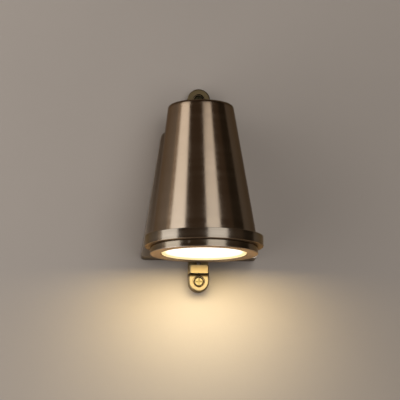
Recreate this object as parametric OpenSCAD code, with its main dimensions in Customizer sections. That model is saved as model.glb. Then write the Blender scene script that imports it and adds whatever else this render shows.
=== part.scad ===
// Outdoor wall light: a leaning cone shade with a back box, hung on a slim wall bracket.
// Millimetres, Z up. The wall is the plane y = 0 and the light stands out along -Y.
// A depth is a distance out from the wall. A height is measured from the bezel's lower face,
// and at_foot() moves it to the frame, whose origin is midway between the two wall holes.

/* [Wall fixing] */
// distance between the two wall holes
fixing_spacing = 136; // [110:1:160]
// height of the lower wall hole
low_hole_z = -13.5; // [-20:0.5:-11]
// radius of the wall screw's shank behind the wall plane
screw_shank_r = 2; // [1.5:0.05:2.2]
// length of that shank
screw_shank_length = 18; // [10:1:40]
// length of the screw's point
screw_point = 4; // [1:0.5:6]
// radius of the screw's dome head
screw_head_r = 3.7; // [3:0.1:4]
// height of the dome head
screw_head_h = 2; // [1.5:0.1:2.5]
// thickness of the washer under the head
washer_t = 0.8; // [0.4:0.1:1.2]

/* [Bracket] */
// width of the bracket's strip
strip_w = 15; // [12:0.5:17]
// thickness of the strip
strip_t = 3; // [2:0.1:4]
// radius of the top tab
top_tab_r = 8.4; // [7:0.1:10]
// radius of the lower tab
low_tab_r = 7.4; // [6.5:0.1:9]
// thickness of both tabs
tab_t = 8; // [6:0.5:10]
// chamfer on the tabs' and the lug's edges
tab_chamfer = 0.8; // [0.3:0.1:1.5]
// radius of the recess round each screw head
recess_r = 4.35; // [4:0.05:5]
// depth of that recess
recess_t = 3; // [2:0.1:4]
// width of the lug that carries the locking screw
lug_w = 14.1; // [10:0.1:18]
// height of the lug's lower face
lug_bottom = -7.9; // [-9:0.1:-7]
// height of the lug itself
lug_h = 6.1; // [4:0.1:7]
// how far the lug stands out from the wall
lug_depth = 12; // [10:0.1:12.2]
// radius of the cable slot in the strip
strip_hole_r = 5.5; // [4.8:0.1:6]

/* [Hook] */
// width of the hook the body hangs on
hook_w = 10; // [6:0.5:12]
// height of the hook's tongue
hook_t = 3; // [2:0.1:4]
// how far the tongue lies below the cone's top
hook_drop = 10; // [9:0.5:14]
// how far the hook stands out from the wall
hook_depth = 9; // [7:0.1:10]
// thickness of the upturned end
hook_end_t = 2.5; // [1.5:0.1:3]

/* [Body] */
// height of the cone's foot
cone_foot_z = 12.63; // [10:0.01:16]
// cone radius at the foot
cone_foot_r = 37.3; // [34:0.1:39]
// how far the cone's top lies below the upper wall hole
tab_rise = 8.5; // [7:0.1:12]
// cone radius at the top, before rounding
cone_top_r = 23.9; // [18:0.1:28]
// gap between the cone's top and the wall
cone_back_gap = 0.2; // [0.2:0.1:4]
// rounding of the cone's top edge
cone_round = 3.7; // [1:0.1:6]
// wall of the cone, measured level
body_wall = 4; // [3:0.1:5]
// wall of the body's spigot
spigot_wall = 3.8; // [3:0.1:4.5]
// thickness of the crown
crown_t = 6; // [4:0.5:8]
// depth of the inner back pad that carries the fittings
pad_depth = 14; // [12:0.5:16]

/* [Back box] */
// height of the box's lower face
box_bottom = 3; // [2:0.1:5]
// how far the box's top face lies below the cone's
box_drop = 17; // [15:0.5:30]
// how far the box's foot stands out past the collar, each side
box_side_step = 0.65; // [0:0.05:3]
// half width of the box at its top face
box_top_half = 27.6; // [24:0.1:34]
// depth of the box's front at its lower face
box_foot_depth = 16.5; // [14:0.1:20]
// depth of the box's front at its top face
box_top_depth = 9; // [7:0.1:12]
// radius of the box's corners
box_corner_r = 3; // [1.5:0.1:5]
// chamfer round the box's front edge
box_chamfer = 1; // [0.4:0.1:1.4]
// rim left round the hollow in the box's back
hollow_rim = 4.5; // [3:0.1:8]
// depth of the floor of that hollow
hollow_depth = 6; // [4:0.1:7]
// how far that hollow's top lies below the box's
hollow_drop = 9; // [6:1:30]

/* [Collar] */
// how far the collar stands out past the cone's foot
collar_step = 4.75; // [3:0.05:7]
// height of the collar's lower face
collar_z = 5.26; // [5.1:0.02:6]
// chamfer of the collar's edges
collar_chamfer = 0.4; // [0.2:0.1:1]
// how far the collar's bore lies inside the cone's foot
thread_step = 1.22; // [1:0.02:2]
// length of the body's spigot inside the collar
spigot_h = 2.1; // [1.5:0.1:3]

/* [Bezel] */
// how far the bezel stands out past the cone's foot
bezel_step = 1; // [0.5:0.1:3]
// height of the bezel's visible ring
bezel_h = 5; // [4:0.1:5]
// width of the ledge inside the bezel, round the light opening
ledge_w = 2.9; // [2.5:0.1:5]
// thickness of the ledge under the lens ring
ledge_t = 0.9; // [0.6:0.1:1.5]
// height of the neck's upper end
neck_top = 10.3; // [9.8:0.1:10.4]
// wall of the neck
neck_wall = 2.8; // [2.5:0.1:3.5]
// chamfer of the bezel's edges
bezel_chamfer = 0.4; // [0.2:0.1:0.8]
// height of the seal groove's lower side
groove_z = 6.6; // [6:0.1:7.5]
// width of the seal groove
groove_w = 1.8; // [1.2:0.1:2.4]
// radius of the seal's cord
seal_cord_r = 0.8; // [0.5:0.05:1.1]
// radius of the grub screw in the bezel's side
grub_r = 1; // [0.8:0.1:1.5]
// height of the grub screw
grub_z = 3.3; // [2:0.1:3.6]
// direction of the grub screw round the bezel, from the front
grub_turn = -21; // [-90:1:90]

/* [Lens] */
// thickness of the glass
glass_t = 3.5; // [2:0.1:4.5]
// thickness of the lens gasket
lens_gasket_t = 0.3; // [0.2:0.1:1]
// thickness of the lens ring's lip
lip_t = 0.4; // [0.3:0.1:1]
// how far the lip stays back from the light opening
lip_back = 0.3; // [0.1:0.1:0.8]
// wall of the lens ring
lens_ring_wall = 1.57; // [1.2:0.01:2]
// height of the lens ring
lens_ring_h = 5.5; // [4:0.1:6]

/* [Lamp] */
// radius of the lamp's rim
lamp_rim_r = 24.75; // [24:0.05:25]
// height of the rim's lower side
lamp_z = 9.6; // [9:0.1:10.5]
// height of the rim itself
lamp_rim_h = 3; // [2:0.1:3.5]
// wall of the reflector
reflector_wall = 1.3; // [0.8:0.1:2]
// height of the bowl above the rim
bowl_h = 25.4; // [20:0.1:28]
// radius of the bowl's neck
bowl_neck_r = 9; // [7:0.1:11]
// thickness of the lamp's front cover
lamp_face_t = 1.3; // [0.8:0.1:2]
// height of the lamp's base
lamp_base_h = 8; // [6:0.1:10]
// distance between the lamp's pins
pin_spacing = 5.3; // [4:0.1:7]
// radius of a pin
pin_r = 0.75; // [0.5:0.05:1]
// length of a pin
pin_length = 5; // [4:0.1:6]

/* [Carrier ring] */
// thickness of the carrier ring
carrier_t = 3; // [2:0.1:3]
// wall of the carrier ring's skirt
skirt_t = 2.5; // [1.5:0.1:4]
// how far the skirt hangs below the ring
skirt_h = 5; // [4:0.1:5.4]
// radius of the lamp clip's wire
clip_wire_r = 0.6; // [0.4:0.05:0.8]

/* [Fittings] */
// width of the lampholder
holder_w = 24; // [20:0.5:26]
// depth of the lampholder, front to back
holder_d = 16; // [12:0.5:20]
// height of the lampholder
holder_h = 9.5; // [8:0.1:12]
// thickness of the strap
strap_t = 1.5; // [1:0.1:2]
// width of the strap's arm and leg
strap_w = 16; // [12:0.5:20]
// length of the strap's leg
strap_leg = 10; // [8:0.5:10.5]
// distance between the strap's screws
strap_screw_gap = 9; // [7:0.5:10]
// height of the cable hole
cable_z = 74; // [73:0.5:75]
// radius of the grommet's body
grommet_r = 4.5; // [4:0.1:5]
// radius of the cable hole through the grommet
cable_r = 3; // [2:0.1:3.5]
// radius of the grommet's flange
grommet_flange_r = 6.3; // [5.5:0.1:6.4]
// thickness of the grommet's flange
grommet_flange_t = 1.5; // [1:0.1:2.5]
// width of the terminal block
terminal_w = 20; // [16:0.5:24]
// height of the terminal block
terminal_h = 13; // [10:0.5:14]
// depth of the terminal block, front to back
terminal_d = 11; // [9:0.5:14]
// height of the terminal block's lower side
terminal_z = 82; // [81:0.5:84]

/* [Small screws] */
// shank radius of the fittings' screws
small_screw_r = 1.25; // [1:0.05:1.5]
// head radius of the fittings' screws
small_head_r = 2.3; // [2:0.1:2.6]
// head height of the fittings' screws
small_head_h = 1.6; // [1:0.1:2]
// radius of the locking screw
lock_screw_r = 1.5; // [1.25:0.05:2]
// depth of the locking screw's axis
lock_screw_depth = 8.5; // [7:0.1:9]
// length of the locking screw
lock_screw_length = 18; // [14:0.5:18]

/* [Clearances] */
// running clearance of turned fits, on the radius
running_gap = 0.08; // [0.02:0.01:0.1]
// clearance between seated cast parts
seat_gap = 0.3; // [0.1:0.05:0.4]
// clearance round a screw's shank, on the radius
screw_gap = 0.1; // [0.05:0.05:0.3]
// clearance of parts that are only laid in, on the radius
loose_gap = 0.05; // [0.02:0.01:0.3]
// room between the bezel and the back box
bezel_room = 0.7; // [0.5:0.1:1]
// room between the bezel and the lug
lug_room = 0.5; // [0.4:0.1:1]
// thickness of the gasket between the body and the wall
wall_gasket_t = 1; // [0.5:0.1:1.5]
// width of the wall gasket
wall_gasket_w = 2.5; // [2:0.1:3]
// how far the wall gasket stays inside the box's outline
wall_gasket_inset = 1; // [0.5:0.1:1.5]

/* [Hidden] */
$fn = 96;
over = 1; // how far a cutting shape runs past the surface it cuts
joint_fn = 32; // facets of the back box's small rounded corners
top_hole_z = low_hole_z + fixing_spacing;
frame_z = (top_hole_z + low_hole_z) / 2;
cone_top_z = top_hole_z - tab_rise;
hook_z = cone_top_z - hook_drop;
hook_lift = hook_t + seat_gap; // how far the body is raised to come off the hook

hole_r = screw_shank_r + 3 * screw_gap;
neck_r = hole_r - screw_gap;
tap_r = small_screw_r + loose_gap;

collar_r = cone_foot_r + collar_step;
collar_bore_r = cone_foot_r - thread_step;
bezel_r = cone_foot_r + bezel_step;
axis_depth = lug_depth + lug_room + bezel_r; // depth of the round parts' upright axis

cone_h = cone_top_z - cone_foot_z;
cone_top_depth = cone_top_r + cone_back_gap;
lean = (axis_depth - cone_top_depth) / cone_h;
cone_angle = atan((cone_foot_r - cone_top_r) / cone_h);
back_depth = wall_gasket_t;
channel_depth = strip_t + seat_gap;
cavity_top = cone_top_z - crown_t;

box_top = cone_top_z - box_drop;
box_foot_half = collar_r + box_side_step;
hollow_top = box_top - hollow_drop;
box_angle = atan((box_foot_half - box_top_half) / (box_top - box_bottom));
box_slope = (box_foot_depth - box_top_depth) / (box_top - box_bottom);

collar_seat_r = collar_r + seat_gap;
block_depth = lug_depth;
spigot_r = cone_foot_r - loose_gap;
spigot_z = cone_foot_z - spigot_h;
carrier_seat_r = cone_foot_r - spigot_wall;

neck_outer_r = collar_bore_r - running_gap;
groove_r = neck_outer_r - 2 * seal_cord_r - loose_gap;
seal_ring_r = neck_outer_r - seal_cord_r;
bezel_bore_r = neck_outer_r - neck_wall;
opening_r = bezel_bore_r - ledge_w;
lens_ring_r = bezel_bore_r - running_gap;
glass_r = lens_ring_r - lens_ring_wall - loose_gap;
lip_r = opening_r + lip_back;
lens_gasket_z = ledge_t + lip_t;
glass_z = lens_gasket_z + lens_gasket_t;

lamp_rim_top = lamp_z + lamp_rim_h;
bowl_r = lamp_rim_r - 1.35;
bowl_top = lamp_rim_top + bowl_h;
base_top = bowl_top + lamp_base_h;
carrier_z = lamp_rim_top + loose_gap;
carrier_top = carrier_z + carrier_t;
carrier_r = carrier_seat_r - loose_gap;
skirt_r = lamp_rim_r + 7 * loose_gap;
clip_z = lamp_z - clip_wire_r;

holder_z = base_top + seat_gap;
strap_z = holder_z + holder_h;
holder_screw_x = holder_w / 3;
strap_screw_z = strap_z + strap_t + strap_leg * 0.6;
terminal_mid = terminal_z + terminal_h / 2;

// Colours
bronze = [0.42, 0.33, 0.22];
steel = [0.72, 0.72, 0.70];
dark_rubber = [0.12, 0.12, 0.12];
ceramic = [0.92, 0.90, 0.85];
glow = [1.0, 0.93, 0.78];

// Placing

module at_foot() translate([0, 0, -frame_z]) children();

module on_axis(z = 0) at_foot() translate([0, -axis_depth, z]) children();

// turned shape round the light's upright axis, from a profile of [radius, height] points
module turned(profile) on_axis() rotate_extrude() polygon(profile);

// cylinder square to the wall, between two depths
module out_rod(x, z, near, far, r)
    at_foot() translate([x, -far, z]) rotate([-90, 0, 0]) cylinder(r = r, h = far - near);

// upright cylinder at a depth
module up_rod(x, depth, low, high, r)
    at_foot() translate([x, -depth, low]) cylinder(r = r, h = high - low);

// block with a level underside, centred on x = 0
module block(w, near, far, low, high)
    at_foot() translate([-w / 2, -far, low]) cube([w, far - near, high - low]);

// flat outline in the wall's plane, drawn out between two depths
module out_sheet(near, far) at_foot() translate([0, -near, 0])
    rotate([90, 0, 0]) linear_extrude(far - near) children();

// pan head with a cross slot, its under side on z = 0
module pan_head(r, h) {
    slot_w = r * 0.28;
    difference() {
        union() {
            cylinder(r = r, h = h * 0.5);
            translate([0, 0, h * 0.5]) cylinder(r1 = r, r2 = r * 0.72, h = h * 0.5);
        }
        for (turn = [0, 90]) rotate([0, 0, turn])
            translate([-r * 0.6, -slot_w / 2, h * 0.45]) cube([r * 1.2, slot_w, h]);
    }
}

// screw that goes into a face from the front, its head standing on that depth
module face_screw(x, z, depth, length, r, head_r, head_h) {
    out_rod(x, z, depth - length, depth + head_h * 0.2, r);
    at_foot() translate([x, -depth, z]) rotate([90, 0, 0]) pan_head(head_r, head_h);
}

// Wall bracket

module tab_disc(z, r) at_foot() translate([0, 0, z]) rotate([90, 0, 0]) {
    cylinder(r = r, h = tab_t - tab_chamfer);
    translate([0, 0, tab_t - tab_chamfer]) cylinder(r1 = r, r2 = r - tab_chamfer, h = tab_chamfer);
}

// upright bar with chamfered front edges
module bar(w, depth, low, high) at_foot() translate([0, 0, low]) linear_extrude(high - low)
    polygon([
        [-w / 2, 0], [w / 2, 0], [w / 2, tab_chamfer - depth], [w / 2 - tab_chamfer, -depth],
        [tab_chamfer - w / 2, -depth], [-w / 2, tab_chamfer - depth],
    ]);

module wall_bracket() color(bronze) {
    recess_depth = tab_t - recess_t;
    difference() {
        union() {
            tab_disc(top_hole_z, top_tab_r);
            bar(2 * top_tab_r, tab_t, cone_top_z + seat_gap, top_hole_z);
            tab_disc(low_hole_z, low_tab_r);
            bar(2 * low_tab_r, tab_t, low_hole_z, lug_bottom);
            bar(lug_w, lug_depth, lug_bottom, lug_bottom + lug_h);
            block(strip_w, 0, strip_t, low_hole_z, top_hole_z);
            block(hook_w, 0, hook_depth, hook_z, hook_z + hook_t);
            block(hook_w, hook_depth - hook_end_t, hook_depth, hook_z, hook_z + 2 * hook_t);
        }
        for (z = [low_hole_z, top_hole_z]) {
            out_rod(0, z, -over, tab_t + over, hole_r);
            out_rod(0, z, recess_depth, tab_t + over, recess_r);
        }
        for (z = [cable_z, cable_z + hook_lift]) out_rod(0, z, -over, strip_t + over, strip_hole_r);
        block(2 * strip_hole_r, -over, strip_t + over, cable_z, cable_z + hook_lift);
        up_rod(0, lock_screw_depth, lug_bottom - over, lug_bottom + lug_h + over,
            lock_screw_r + loose_gap);
    }
}

module wall_screws() color(steel) {
    head_depth = tab_t - recess_t + washer_t;
    for (z = [low_hole_z, top_hole_z]) {
        face_screw(0, z, head_depth, head_depth, neck_r, screw_head_r, screw_head_h);
        out_rod(0, z, -screw_shank_length, 0, screw_shank_r);
        at_foot() translate([0, screw_shank_length, z]) rotate([-90, 0, 0])
            cylinder(r1 = screw_shank_r, r2 = screw_shank_r * 0.15, h = screw_point);
    }
}

module screw_washers() color(dark_rubber) {
    seat = tab_t - recess_t;
    for (z = [low_hole_z, top_hole_z]) difference() {
        out_rod(0, z, seat, seat + washer_t, recess_r - 2 * screw_gap);
        out_rod(0, z, seat - over, seat + washer_t + over, neck_r + loose_gap);
    }
}

// Back box

// distance of the box's side from the middle at a height, brought in by an inset
function box_side(z, inset) =
    box_foot_half - (inset + (z - box_bottom) * sin(box_angle)) / cos(box_angle);

// outline of the back box, brought in by an inset
module box_outline(inset = 0) {
    r = max(0.5, box_corner_r - inset);
    low = box_bottom + inset + r;
    high = box_top - inset - r;
    hull() for (side = [-1, 1], z = [low, high])
        translate([side * box_side(z, inset + r), z]) circle(r = r, $fn = joint_fn);
}

// thin sheet of that outline, laid on the box's sloping front
module front_sheet(inset, back) {
    sheet = 0.02;
    at_foot() multmatrix([[1, 0, 0, 0], [0, 1, box_slope, -box_foot_depth - box_slope * box_bottom],
        [0, 0, 1, 0], [0, 0, 0, 1]])
        translate([0, back + sheet, 0]) rotate([90, 0, 0]) linear_extrude(sheet) box_outline(inset);
}

module back_box() hull() {
    out_sheet(back_depth, back_depth + box_chamfer) box_outline();
    front_sheet(0, box_chamfer);
    front_sheet(box_chamfer, 0);
}

// Body

// shape joined from four quarters round the upright axis, so that no curved face runs all the way round
module quartered() for (turn = [0:90:270]) intersection() {
    children();
    on_axis(-over) rotate([0, 0, turn]) cube([4 * cone_foot_r, 4 * cone_foot_r, cone_top_z + 2 * over]);
}

// shear that leans the cone back towards the wall
module leaning() on_axis(cone_foot_z)
    multmatrix([[1, 0, 0, 0], [0, 1, lean, 0], [0, 0, 1, 0], [0, 0, 0, 1]]) children();

module cone_shell() {
    round_z = cone_h - cone_round;
    round_r = cone_foot_r - (cone_round + round_z * sin(cone_angle)) / cos(cone_angle);
    leaning() rotate_extrude() {
        polygon([
            [0, 0], [cone_foot_r, 0],
            [round_r + cone_round * cos(cone_angle), round_z + cone_round * sin(cone_angle)],
            [round_r, round_z], [round_r, cone_h], [0, cone_h],
        ]);
        intersection() {
            translate([round_r, round_z]) circle(r = cone_round);
            translate([0, round_z]) square([cone_foot_r, cone_round]);
        }
    }
}

module cavity() {
    cavity_h = cavity_top - cone_foot_z;
    foot_r = cone_foot_r - body_wall;
    intersection() {
        leaning() cylinder(r1 = foot_r, r2 = foot_r - cavity_h * tan(cone_angle), h = cavity_h);
        block(4 * cone_foot_r, pad_depth, 4 * cone_foot_r, 0, cone_top_z);
    }
}

// space that the collar and the bezel need in the foot of the back box
module foot_room() {
    difference() {
        on_axis(0) cylinder(r = collar_seat_r, h = cone_foot_z);
        block(4 * cone_foot_r, -over, block_depth, -over, cone_foot_z + over);
    }
    difference() {
        on_axis(0) cylinder(r = bezel_r + bezel_room, h = collar_z);
        block(4 * cone_foot_r, -over, block_depth, -over, cone_foot_z + over);
    }
}

module back_hollow() out_sheet(-over, hollow_depth) difference() {
    intersection() {
        box_outline(hollow_rim);
        translate([-box_foot_half, 0]) square([2 * box_foot_half, hollow_top]);
    }
    translate([-strip_w / 2 - body_wall, 0])
        square([strip_w + 2 * body_wall, cone_top_z]);
}

module housing() color(bronze) {
    channel_w = strip_w + 2 * seat_gap;
    difference() {
        union() {
            quartered() cone_shell();
            difference() {
                back_box();
                foot_room();
            }
            turned([
                [0, spigot_z], [spigot_r, spigot_z], [spigot_r, cone_foot_z],
                [spigot_r - 2 * over, cone_foot_z + over], [0, cone_foot_z + over],
            ]);
        }
        quartered() cavity();
        on_axis(0) cylinder(r = carrier_seat_r, h = carrier_top + loose_gap);
        block(4 * cone_foot_r, -4 * cone_foot_r, back_depth, 0, cone_top_z + over);
        block(channel_w, 0, channel_depth, 0, cone_top_z + over);
        back_hollow();
        block(hook_w + 2 * seat_gap, 0, hook_depth + seat_gap,
            hook_z - hook_lift - seat_gap, hook_z + hook_t + screw_gap);
        block(hook_w + 2 * seat_gap, hook_depth - hook_end_t - seat_gap, hook_depth + seat_gap,
            hook_z, hook_z + 2 * hook_t + seat_gap);
        out_rod(0, cable_z, 0, pad_depth + over, grommet_r + loose_gap);
        up_rod(0, lock_screw_depth, 0, lug_bottom + lock_screw_length + over,
            lock_screw_r + loose_gap);
        for (side = [-1, 1])
            out_rod(side * strap_screw_gap / 2, strap_screw_z, hollow_depth + over,
                pad_depth + over, tap_r);
        out_rod(0, terminal_mid, hollow_depth + over, pad_depth + over, tap_r);
    }
}

module wall_gasket() color(dark_rubber) difference() {
    out_sheet(0, wall_gasket_t) difference() {
        box_outline(wall_gasket_inset);
        box_outline(wall_gasket_inset + wall_gasket_w);
    }
    block(strip_w + 2 * seat_gap, -over, strip_t, 0, cone_top_z);
}

module locking_screw() color(steel) at_foot()
    translate([0, -lock_screw_depth, lug_bottom + seat_gap]) difference() {
        cylinder(r = lock_screw_r, h = lock_screw_length);
        translate([0, 0, -over]) cylinder(r = lock_screw_r * 0.55, h = 2 + over, $fn = 6);
    }

module cable_grommet() color(dark_rubber) difference() {
    union() {
        out_rod(0, cable_z, 0, pad_depth + grommet_flange_t, grommet_r);
        out_rod(0, cable_z, pad_depth, pad_depth + grommet_flange_t, grommet_flange_r);
    }
    out_rod(0, cable_z, -over, pad_depth + 2 * grommet_flange_t, cable_r);
}

module collar() color(bronze) difference() {
    top = cone_foot_z;
    turned([
        [collar_bore_r, collar_z], [collar_r - collar_chamfer, collar_z],
        [collar_r, collar_z + collar_chamfer], [collar_r, top - collar_chamfer],
        [collar_r - collar_chamfer, top], [cone_foot_r, top], [cone_foot_r, spigot_z - screw_gap],
        [collar_bore_r, spigot_z - screw_gap],
    ]);
    block(4 * cone_foot_r, -over, block_depth + seat_gap, 0, cone_foot_z + over);
}

// Bezel and lens

module bezel() color(bronze) difference() {
    groove_top = groove_z + groove_w;
    turned([
        [opening_r + ledge_t, 0], [bezel_r - bezel_chamfer, 0], [bezel_r, bezel_chamfer],
        [bezel_r, bezel_h - bezel_chamfer], [bezel_r - bezel_chamfer, bezel_h],
        [neck_outer_r, bezel_h], [neck_outer_r, groove_z], [groove_r, groove_z],
        [groove_r, groove_top], [neck_outer_r, groove_top],
        [neck_outer_r, neck_top - bezel_chamfer], [neck_outer_r - bezel_chamfer, neck_top],
        [bezel_bore_r, neck_top], [bezel_bore_r, ledge_t], [opening_r, ledge_t],
    ]);
    grub_way(lens_ring_r, bezel_r + over, grub_r + loose_gap);
}

// cylinder along the grub screw's line, between two radii
module grub_way(near, far, r) on_axis(grub_z) rotate([0, 0, grub_turn])
    translate([0, -near, 0]) rotate([90, 0, 0]) cylinder(r = r, h = far - near);

module bezel_grub_screw() color(steel) difference() {
    grub_way(bezel_bore_r, bezel_r - seat_gap, grub_r);
    on_axis(grub_z) rotate([0, 0, grub_turn]) translate([0, -bezel_r + 2 * over, 0])
        rotate([90, 0, 0]) cylinder(r = grub_r * 0.55, h = 2 * over, $fn = 6);
}

module bezel_o_ring() color(dark_rubber) on_axis(groove_z + groove_w / 2)
    rotate_extrude() translate([seal_ring_r, 0]) circle(r = seal_cord_r, $fn = 48);

module lens_ring() color(bronze) turned([
    [lip_r, ledge_t], [lens_ring_r, ledge_t], [lens_ring_r, ledge_t + lens_ring_h],
    [glass_r + loose_gap, ledge_t + lens_ring_h], [glass_r + loose_gap, lens_gasket_z],
    [lip_r, lens_gasket_z],
]);

module lens_gasket() color(dark_rubber) turned([
    [lip_r, lens_gasket_z], [glass_r, lens_gasket_z], [glass_r, glass_z], [lip_r, glass_z],
]);

module lens_glass() color(glow) on_axis(glass_z) cylinder(r = glass_r, h = glass_t);

// Lamp and its fittings

module carrier_ring() color(steel) turned([
    [skirt_r, carrier_z - skirt_h], [skirt_r + skirt_t, carrier_z - skirt_h],
    [skirt_r + skirt_t, carrier_z], [carrier_r, carrier_z], [carrier_r, carrier_top],
    [bowl_r + seat_gap, carrier_top], [bowl_r + seat_gap, carrier_z], [skirt_r, carrier_z],
    [skirt_r, clip_z + clip_wire_r + loose_gap], [skirt_r + clip_wire_r, clip_z + clip_wire_r + loose_gap],
    [skirt_r + clip_wire_r, clip_z - clip_wire_r - loose_gap], [skirt_r, clip_z - clip_wire_r - loose_gap],
]);

module lamp_clip() color(steel) on_axis(clip_z) {
    gap_angle = 24;
    ear = 3;
    rotate([0, 0, gap_angle / 2 - 90]) rotate_extrude(angle = 360 - gap_angle)
        translate([skirt_r - loose_gap, 0]) circle(r = clip_wire_r, $fn = 24);
    for (side = [-1, 1]) rotate([0, 0, side * (gap_angle / 2 + 1.5)])
        translate([0, ear - skirt_r, 0]) rotate([90, 0, 0]) cylinder(r = clip_wire_r * 0.85, h = ear);
}

// radius of the bowl at a share of its height
function bowl_at(share) = bowl_r - (bowl_r - bowl_neck_r) * pow(share, 1.7);

module lamp_reflector() color(steel) {
    steps = 12;
    shares = [for (i = [0:steps]) i / steps];
    face_top = lamp_z + lamp_face_t + loose_gap;
    turned(concat(
        [[lamp_rim_r - reflector_wall / 2, lamp_z], [lamp_rim_r, lamp_z], [lamp_rim_r, lamp_rim_top]],
        [for (s = shares) [bowl_at(s), lamp_rim_top + bowl_h * s]],
        [[0, bowl_top], [0, bowl_top - reflector_wall]],
        [for (i = [steps:-1:0]) [bowl_at(shares[i]) - reflector_wall,
            face_top + (bowl_top - reflector_wall - face_top) * shares[i]]],
        [[lamp_rim_r - reflector_wall / 2, face_top]]
    ));
}

module lamp_face() color(glow) on_axis(lamp_z)
    cylinder(r = lamp_rim_r - reflector_wall / 2 - loose_gap, h = lamp_face_t);

module lamp_base() color(ceramic) {
    base_w = 17;
    base_d = 11;
    step_h = lamp_base_h / 4;
    on_axis(bowl_top) cylinder(r = bowl_neck_r, h = step_h);
    block(base_w, axis_depth - base_d / 2, axis_depth + base_d / 2, bowl_top + step_h, base_top);
}

module lamp_pins() color(steel) for (side = [-1, 1])
    up_rod(side * pin_spacing / 2, axis_depth, base_top, base_top + pin_length, pin_r);

module lampholder() color(ceramic) difference() {
    block(holder_w, axis_depth - holder_d / 2, axis_depth + holder_d / 2, holder_z, strap_z);
    for (side = [-1, 1]) {
        up_rod(side * pin_spacing / 2, axis_depth, holder_z - over, base_top + pin_length + over,
            pin_r + screw_gap);
        up_rod(side * holder_screw_x, axis_depth, holder_z - over, strap_z + over, tap_r);
        up_rod(side * holder_screw_x, axis_depth, holder_z - over, holder_z + 3 * small_head_h / 2,
            small_head_r + seat_gap);
    }
}

module holder_strap() color(steel) difference() {
    top = strap_z + strap_t;
    union() {
        block(strap_w, pad_depth, axis_depth, strap_z, top);
        block(holder_w, axis_depth - holder_d / 2, axis_depth + holder_d / 2, strap_z, top);
        block(strap_w, pad_depth, pad_depth + strap_t, strap_z, top + strap_leg);
    }
    for (side = [-1, 1]) {
        up_rod(side * holder_screw_x, axis_depth, strap_z - over, top + over, tap_r);
        out_rod(side * strap_screw_gap / 2, strap_screw_z, pad_depth - over,
            pad_depth + strap_t + over, tap_r);
    }
}

module strap_screws() color(steel) for (side = [-1, 1])
    face_screw(side * strap_screw_gap / 2, strap_screw_z, pad_depth + strap_t,
        strap_t + (pad_depth - hollow_depth) / 2, small_screw_r, small_head_r, small_head_h);

module holder_screws() color(steel) for (side = [-1, 1]) {
    head_z = holder_z + 3 * small_head_h / 2;
    up_rod(side * holder_screw_x, axis_depth, head_z - small_head_h * 0.2, strap_z + 2 * strap_t,
        small_screw_r);
    at_foot() translate([side * holder_screw_x, -axis_depth, head_z]) rotate([180, 0, 0])
        pan_head(small_head_r, small_head_h);
}

module terminal_block() color(ceramic) {
    front = pad_depth + terminal_d;
    way_x = terminal_w * 0.275;
    way_depth = pad_depth + terminal_d / 2;
    way_r = 1.5;
    difference() {
        union() {
            block(terminal_w, pad_depth, way_depth + way_r, terminal_z, terminal_z + terminal_h);
            for (side = [-1, 1]) at_foot()
                translate([side * way_x - way_r * 2, -front, terminal_z])
                    cube([way_r * 4, terminal_d, terminal_h]);
        }
        for (side = [-1, 1]) {
            up_rod(side * way_x, way_depth, terminal_z - over, terminal_z + terminal_h + over, way_r);
            for (z = [terminal_z + terminal_h / 4, terminal_z + terminal_h * 3 / 4])
                out_rod(side * way_x, z, way_depth, front + over, small_screw_r + loose_gap);
        }
        out_rod(0, terminal_mid, pad_depth - over, front + over, tap_r);
    }
}

module terminal_clamp_screws() color(steel) {
    way_x = terminal_w * 0.275;
    way_depth = pad_depth + terminal_d / 2;
    front = pad_depth + terminal_d;
    for (side = [-1, 1], z = [terminal_z + terminal_h / 4, terminal_z + terminal_h * 3 / 4])
        difference() {
            out_rod(side * way_x, z, way_depth, front - seat_gap, small_screw_r);
            at_foot() translate([side * way_x - small_screw_r, -front, z - 0.2])
                cube([2 * small_screw_r, over, 0.4]);
        }
}

module terminal_screw() color(steel)
    face_screw(0, terminal_mid, pad_depth + terminal_d / 2 + 1.5, terminal_d / 2 + 1.5
        + (pad_depth - hollow_depth) / 2, small_screw_r, small_head_r, small_head_h);

wall_bracket();
wall_screws();
screw_washers();
wall_gasket();
housing();
collar();
locking_screw();
cable_grommet();
carrier_ring();
lamp_clip();
lamp_reflector();
lamp_face();
lamp_base();
lamp_pins();
lampholder();
holder_strap();
strap_screws();
holder_screws();
terminal_block();
terminal_clamp_screws();
terminal_screw();
bezel();
bezel_grub_screw();
bezel_o_ring();
lens_glass();
lens_gasket();
lens_ring();
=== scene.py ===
import math

import bmesh
import bpy
import numpy as np
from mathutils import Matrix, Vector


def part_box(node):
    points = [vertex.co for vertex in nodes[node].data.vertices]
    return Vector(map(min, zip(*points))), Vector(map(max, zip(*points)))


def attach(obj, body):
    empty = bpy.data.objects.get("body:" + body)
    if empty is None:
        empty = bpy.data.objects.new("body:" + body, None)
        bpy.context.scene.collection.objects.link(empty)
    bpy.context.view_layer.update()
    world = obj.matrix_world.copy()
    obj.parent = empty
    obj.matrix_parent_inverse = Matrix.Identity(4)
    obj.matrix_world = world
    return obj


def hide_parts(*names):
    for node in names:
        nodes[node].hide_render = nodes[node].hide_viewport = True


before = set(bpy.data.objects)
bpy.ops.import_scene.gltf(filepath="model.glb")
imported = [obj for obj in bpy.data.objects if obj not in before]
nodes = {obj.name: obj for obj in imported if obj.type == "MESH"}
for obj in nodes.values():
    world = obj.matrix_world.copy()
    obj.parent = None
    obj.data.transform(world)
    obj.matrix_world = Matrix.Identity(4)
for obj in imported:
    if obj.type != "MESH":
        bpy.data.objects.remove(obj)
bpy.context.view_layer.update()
print("frame loaded:", len(nodes), "nodes")

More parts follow.
